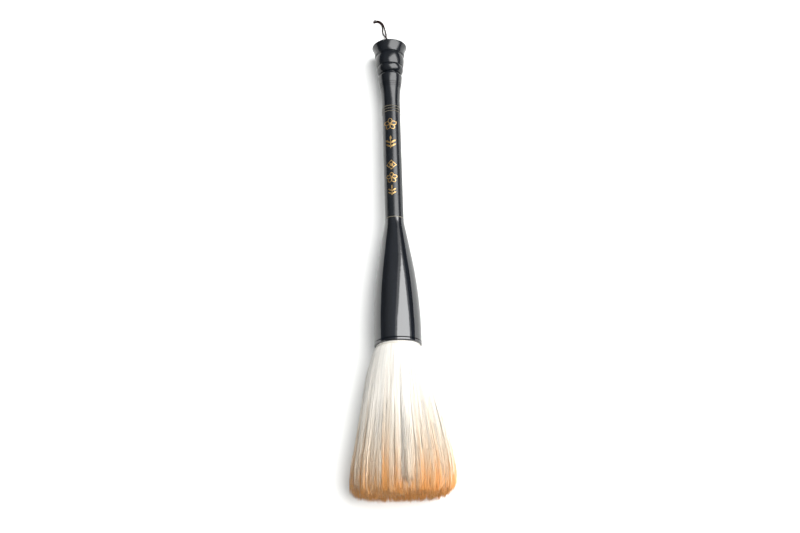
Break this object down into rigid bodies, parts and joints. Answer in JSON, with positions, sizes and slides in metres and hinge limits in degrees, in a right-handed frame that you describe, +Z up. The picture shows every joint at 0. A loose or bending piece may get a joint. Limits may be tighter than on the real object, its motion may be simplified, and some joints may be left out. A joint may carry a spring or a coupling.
{
  "type": "calligraphy brush",
  "caption": "Large ink brush with a bell-shaped black horn ferrule, slim engraved shaft, flared cap with hanging cord, full fan of pale goat hair with tan tips.",
  "frame": {"origin": "centre of the footprint of the brush without its hanging cord, on the surface it lies on", "axes": "+Y along the brush from the hair tips to the flared cap, +Z up from the surface, +X to the right when looking along +Y"},
  "size_m": [0.0798, 0.4242, 0.0475],
  "materials": {
    "black_horn": "turned buffalo horn, polished to a deep gloss",
    "black_lacquer": "dense wood rod under polished black lacquer",
    "pale_ring": "thin polished bone-coloured inlay ring",
    "gold_leaf": "gold leaf laid in shallow engraving, satin",
    "hardwood_dowel": "plain beech dowel, glued",
    "goat_hair": "soft straight goat hair, white at the root, tan to brown tips",
    "binding_thread": "waxed flax thread",
    "resin": "amber setting resin",
    "cord": "waxed twisted cord, near black"
  },
  "bodies": {
    "handle": {"ferrule_bell": "black_horn", "upper_spacer_1": "black_horn", "upper_spacer_2": "black_horn", "cap_taper": "black_horn", "cap_bead_lower": "black_horn", "cap_bead_upper": "black_horn", "cap_flare": "black_horn", "shaft": "black_lacquer", "lower_ring": "pale_ring", "upper_ring_1": "pale_ring", "upper_ring_2": "pale_ring", "upper_ring_3": "pale_ring", "gold_ornament_1": "gold_leaf", "gold_ornament_2": "gold_leaf", "gold_ornament_3": "gold_leaf", "gold_ornament_4": "gold_leaf", "gold_ornament_5": "gold_leaf", "ferrule_dowel": "hardwood_dowel", "cap_dowel": "hardwood_dowel", "hair_root": "goat_hair", "root_binding": "binding_thread", "root_resin": "resin", "cord_loop": "cord", "cord_knot": "cord"},
    "tuft": {"hair_cover": "goat_hair", "hair_core": "goat_hair"}
  },
  "joints": [
    {"name": "tuft_flex", "type": "hinge", "parent": "handle", "child": "tuft", "pos_m": [0, -0.09484, 0], "axis": [0, 0, 1], "range_deg": [-40, 40], "stiffness_Nm_per_rad": 0.15}
  ]
}
